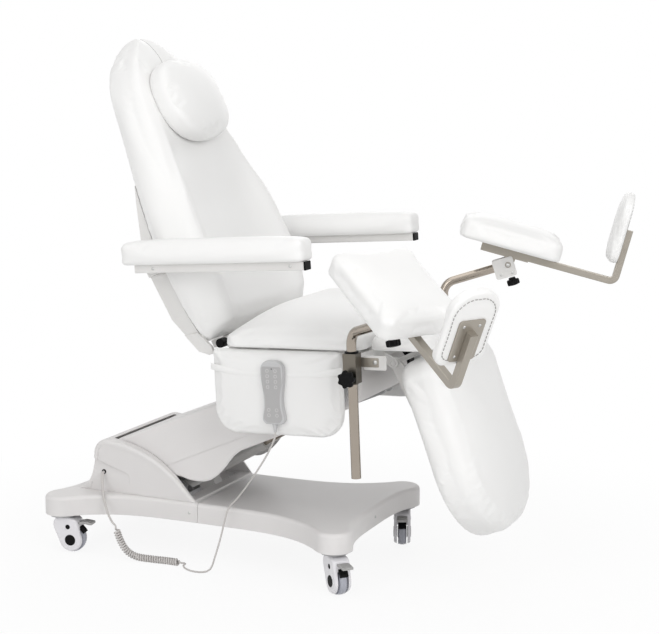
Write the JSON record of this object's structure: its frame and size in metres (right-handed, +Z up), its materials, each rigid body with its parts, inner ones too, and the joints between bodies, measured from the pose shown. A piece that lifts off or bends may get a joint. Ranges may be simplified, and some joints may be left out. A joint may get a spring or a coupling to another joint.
{
  "type": "electric treatment bed",
  "caption": "Electric treatment bed on braked casters: lifting base, reclining back with pillow, level armrests, drop leg rest, swivelling leg supports and corded handset.",
  "frame": {"origin": "on the floor, under the middle of the whole bed's box without its cord", "axes": "+X towards the foot end, +Y to the patient's left, +Z up"},
  "size_m": [1.4917, 1.2638, 1.4403],
  "materials": {
    "white_leatherette": "soft white leatherette with a fine grain",
    "warm_grey_plastic": "moulded satin plastic, warm light grey",
    "white_paint": "white powder coat",
    "stainless_steel": "brushed stainless tube",
    "grey_painted_steel": "grey powder coat",
    "black_plastic": "matt black plastic",
    "caster_shell": "glossy white plastic",
    "wheel_polyurethane": "grey polyurethane tread",
    "pedal_grey": "grey plastic",
    "handset_grey": "satin grey plastic",
    "cord_grey": "light grey cord sheath"
  },
  "bodies": {
    "base": {"base_frame": "grey_painted_steel", "base_rear_cover": "warm_grey_plastic", "base_front_cover": "warm_grey_plastic", "control_box": "black_plastic", "cord_lead": "cord_grey", "cord_coil": "cord_grey"},
    "arm": {"lift_arm": "grey_painted_steel", "arm_cover": "warm_grey_plastic"},
    "head": {"lift_head": "grey_painted_steel"},
    "seat": {"seat_frame": "white_paint", "seat_cushion": "white_leatherette", "apron_right": "white_leatherette", "apron_left": "white_leatherette", "back_actuator": "black_plastic"},
    "back": {"back_frame": "grey_painted_steel", "back_shell": "white_paint", "back_cushion": "white_leatherette"},
    "leg_rest": {"leg_rest_frame": "white_paint", "leg_rest_cushion": "white_leatherette"},
    "headrest": {"headrest_pillow": "white_leatherette"},
    "handset": {"handset": "handset_grey", "cord_drop": "cord_grey"},
    "level_link": {"level_link": "grey_painted_steel"},
    "lift_actuator": {"lift_actuator": "black_plastic"},
    "lift_rod": {"lift_rod": "stainless_steel"},
    "back_rod": {"back_rod": "stainless_steel"},
    "bush_right": {"post_right_bush": "black_plastic"},
    "post_right": {"post_right": "stainless_steel", "tilt_bracket_right": "white_paint"},
    "knee_right": {"pad_rail_right": "stainless_steel", "knee_pad_right": "white_leatherette"},
    "foot_right": {"foot_bar_right": "stainless_steel", "foot_pad_right": "white_leatherette"},
    "post_knob_right": {"post_right_knob": "black_plastic"},
    "tilt_knob_right": {"tilt_knob_right": "black_plastic"},
    "bush_left": {"post_left_bush": "black_plastic"},
    "post_left": {"post_left": "stainless_steel", "tilt_bracket_left": "white_paint"},
    "knee_left": {"pad_rail_left": "stainless_steel", "knee_pad_left": "white_leatherette"},
    "foot_left": {"foot_bar_left": "stainless_steel", "foot_pad_left": "white_leatherette"},
    "post_knob_left": {"post_left_knob": "black_plastic"},
    "tilt_knob_left": {"tilt_knob_left": "black_plastic"},
    "caster_front_right": {"caster_front_right_shell": "caster_shell"},
    "wheel_front_right": {"caster_front_right_wheel": "wheel_polyurethane"},
    "pedal_front_right": {"caster_front_right_pedal": "pedal_grey"},
    "caster_front_left": {"caster_front_left_shell": "caster_shell"},
    "wheel_front_left": {"caster_front_left_wheel": "wheel_polyurethane"},
    "pedal_front_left": {"caster_front_left_pedal": "pedal_grey"},
    "caster_rear_right": {"caster_rear_right_shell": "caster_shell"},
    "wheel_rear_right": {"caster_rear_right_wheel": "wheel_polyurethane"},
    "pedal_rear_right": {"caster_rear_right_pedal": "pedal_grey"},
    "caster_rear_left": {"caster_rear_left_shell": "caster_shell"},
    "wheel_rear_left": {"caster_rear_left_wheel": "wheel_polyurethane"},
    "pedal_rear_left": {"caster_rear_left_pedal": "pedal_grey"},
    "armrest_right": {"armrest_right_rail": "white_paint", "armrest_right_pad": "white_leatherette"},
    "armrest_left": {"armrest_left_rail": "white_paint", "armrest_left_pad": "white_leatherette"}
  },
  "joints": [
    {"name": "lift", "type": "hinge", "parent": "base", "child": "arm", "pos_m": [-0.514, 0.068, 0.25], "axis": [0, -1, 0], "range_deg": [0, 30]},
    {"name": "backrest", "type": "hinge", "parent": "seat", "child": "back", "pos_m": [-0.18184, 0.068, 0.63635], "axis": [0, -1, 0], "range_deg": [0, 60]},
    {"name": "leg_rest", "type": "hinge", "parent": "seat", "child": "leg_rest", "pos_m": [0.26626, 0.068, 0.59786], "axis": [0, -1, 0], "range_deg": [0, 69.5]},
    {"name": "seat_tilt", "type": "hinge", "parent": "head", "child": "seat", "pos_m": [0.086, 0.068, 0.6], "axis": [0, -1, 0], "range_deg": [-2.5, 12]},
    {"name": "leg_swivel_right", "type": "hinge", "parent": "seat", "child": "bush_right", "pos_m": [0.23836, -0.262, 0.60665], "axis": [0.0436, 0, -0.999], "range_deg": [-35.6, 24.4]},
    {"name": "leg_height_right", "type": "slide", "parent": "bush_right", "child": "post_right", "axis": [-0.0436, 0, 0.999], "range_m": [-0.014, 0.12]},
    {"name": "knee_tilt_right", "type": "hinge", "parent": "post_right", "child": "knee_right", "pos_m": [0.38093, -0.36884, 0.76219], "axis": [-0.5816, -0.8131, -0.0254], "range_deg": [-9.2, 45.8]},
    {"name": "foot_slide_right", "type": "slide", "parent": "knee_right", "child": "foot_right", "axis": [0.7201, -0.5, -0.4811], "range_m": [-0.05, 0.06]},
    {"name": "leg_swivel_left", "type": "hinge", "parent": "seat", "child": "bush_left", "pos_m": [0.23836, 0.398, 0.60665], "axis": [-0.0436, 0, 0.999], "range_deg": [-19, 41]},
    {"name": "leg_height_left", "type": "slide", "parent": "bush_left", "child": "post_left", "axis": [-0.0436, 0, 0.999], "range_m": [-0.055, 0.12]},
    {"name": "knee_tilt_left", "type": "hinge", "parent": "post_left", "child": "knee_left", "pos_m": [0.4034, 0.45775, 0.80471], "axis": [0.3253, -0.9455, 0.0142], "range_deg": [-22.7, 32.3]},
    {"name": "foot_slide_left", "type": "slide", "parent": "knee_left", "child": "foot_left", "axis": [0.9149, 0.3108, -0.2577], "range_m": [-0.05, 0.06]},
    {"name": "headrest_slide", "type": "slide", "parent": "back", "child": "headrest", "axis": [-0.4571, 0, 0.8894], "range_m": [-0.06, 0.06]},
    {"name": "handset_lift", "type": "slide", "parent": "seat", "child": "handset", "axis": [-0.0436, 0, 0.999], "range_m": [0, 0.025]},
    {"name": "caster_swivel_front_right", "type": "hinge", "parent": "base", "child": "caster_front_right", "pos_m": [0.1475, -0.1705, 0], "axis": [0, 0, 1], "continuous": true},
    {"name": "caster_swivel_front_left", "type": "hinge", "parent": "base", "child": "caster_front_left", "pos_m": [0.1475, 0.3065, 0], "axis": [0, 0, 1], "continuous": true},
    {"name": "caster_swivel_rear_right", "type": "hinge", "parent": "base", "child": "caster_rear_right", "pos_m": [-0.6955, -0.1705, 0], "axis": [0, 0, 1], "continuous": true},
    {"name": "caster_swivel_rear_left", "type": "hinge", "parent": "base", "child": "caster_rear_left", "pos_m": [-0.6955, 0.3065, 0], "axis": [0, 0, 1], "continuous": true},
    {"name": "wheel_roll_front_right", "type": "hinge", "parent": "caster_front_right", "child": "wheel_front_right", "pos_m": [0.16831, -0.18924, 0.0375], "axis": [0.6691, 0.7431, 0], "continuous": true},
    {"name": "wheel_roll_front_left", "type": "hinge", "parent": "caster_front_left", "child": "wheel_front_left", "pos_m": [0.15799, 0.28054, 0.0375], "axis": [0.9272, 0.3746, 0], "continuous": true},
    {"name": "wheel_roll_rear_right", "type": "hinge", "parent": "caster_rear_right", "child": "wheel_rear_right", "pos_m": [-0.66792, -0.16564, 0.0375], "axis": [-0.1736, 0.9848, 0], "continuous": true},
    {"name": "wheel_roll_rear_left", "type": "hinge", "parent": "caster_rear_left", "child": "wheel_rear_left", "pos_m": [-0.67078, 0.31965, 0.0375], "axis": [-0.4695, 0.8829, 0], "continuous": true},
    {"name": "brake_front_right", "type": "hinge", "parent": "caster_front_right", "child": "pedal_front_right", "pos_m": [0.188, -0.20697, 0.086], "axis": [0.6691, 0.7431, 0], "range_deg": [0, 9]},
    {"name": "brake_front_left", "type": "hinge", "parent": "caster_front_left", "child": "pedal_front_left", "pos_m": [0.16792, 0.25597, 0.086], "axis": [0.9272, 0.3746, 0], "range_deg": [0, 9]},
    {"name": "brake_rear_right", "type": "hinge", "parent": "caster_rear_right", "child": "pedal_rear_right", "pos_m": [-0.64183, -0.16104, 0.086], "axis": [-0.1736, 0.9848, 0], "range_deg": [0, 9]},
    {"name": "brake_rear_left", "type": "hinge", "parent": "caster_rear_left", "child": "pedal_rear_left", "pos_m": [-0.64738, 0.33209, 0.086], "axis": [-0.4695, 0.8829, 0], "range_deg": [0, 9]},
    {"name": "post_knob_right", "type": "hinge", "parent": "seat", "child": "post_knob_right", "pos_m": [0.23879, -0.262, 0.59666], "axis": [0, 1, 0], "continuous": true},
    {"name": "tilt_knob_right", "type": "hinge", "parent": "post_right", "child": "tilt_knob_right", "pos_m": [0.38093, -0.36884, 0.76219], "axis": [-0.2524, 0.1507, 0.9558], "continuous": true},
    {"name": "post_knob_left", "type": "hinge", "parent": "seat", "child": "post_knob_left", "pos_m": [0.23879, 0.398, 0.59666], "axis": [0, 1, 0], "continuous": true},
    {"name": "tilt_knob_left", "type": "hinge", "parent": "post_left", "child": "tilt_knob_left", "pos_m": [0.4034, 0.45775, 0.80471], "axis": [-0.2866, -0.0843, 0.9543], "continuous": true},
    {"name": "armrest_level_right", "type": "hinge", "parent": "back", "child": "armrest_right", "pos_m": [-0.30222, 0.068, 0.84433], "axis": [0, -1, 0], "range_deg": [-60, 0]},
    {"name": "armrest_level_left", "type": "hinge", "parent": "back", "child": "armrest_left", "pos_m": [-0.30222, 0.068, 0.84433], "axis": [0, -1, 0], "range_deg": [-60, 0]},
    {"name": "head_level", "type": "hinge", "parent": "arm", "child": "head", "pos_m": [0.12602, 0.068, 0.53002], "axis": [0, -1, 0], "range_deg": [-30, 0]},
    {"name": "link_swing", "type": "hinge", "parent": "base", "child": "level_link", "pos_m": [-0.514, 0.068, 0.19], "axis": [0, -1, 0], "range_deg": [0, 30]},
    {"name": "actuator_swing", "type": "hinge", "parent": "base", "child": "lift_actuator", "pos_m": [-0.434, 0.068, 0.165], "axis": [0, -1, 0], "range_deg": [0, 29.83]},
    {"name": "lift_rod_slide", "type": "slide", "parent": "lift_actuator", "child": "lift_rod", "axis": [0.8652, 0, 0.5014], "range_m": [0, 0.0606]},
    {"name": "back_rod_slide", "type": "slide", "parent": "seat", "child": "back_rod", "axis": [0.999, 0, 0.0436], "range_m": [0, 0.1002]}
  ],
  "couplings": [
    {"joint": "armrest_level_right", "follows": "backrest", "ratio": -1},
    {"joint": "armrest_level_left", "follows": "backrest", "ratio": -1},
    {"joint": "back_rod_slide", "follows": "backrest", "m_per_rad": 0.0955},
    {"joint": "head_level", "follows": "lift", "ratio": -1},
    {"joint": "link_swing", "follows": "lift", "ratio": 1},
    {"joint": "actuator_swing", "follows": "lift", "ratio": 0.9927},
    {"joint": "lift_rod_slide", "follows": "lift", "m_per_rad": 0.1153}
  ]
}
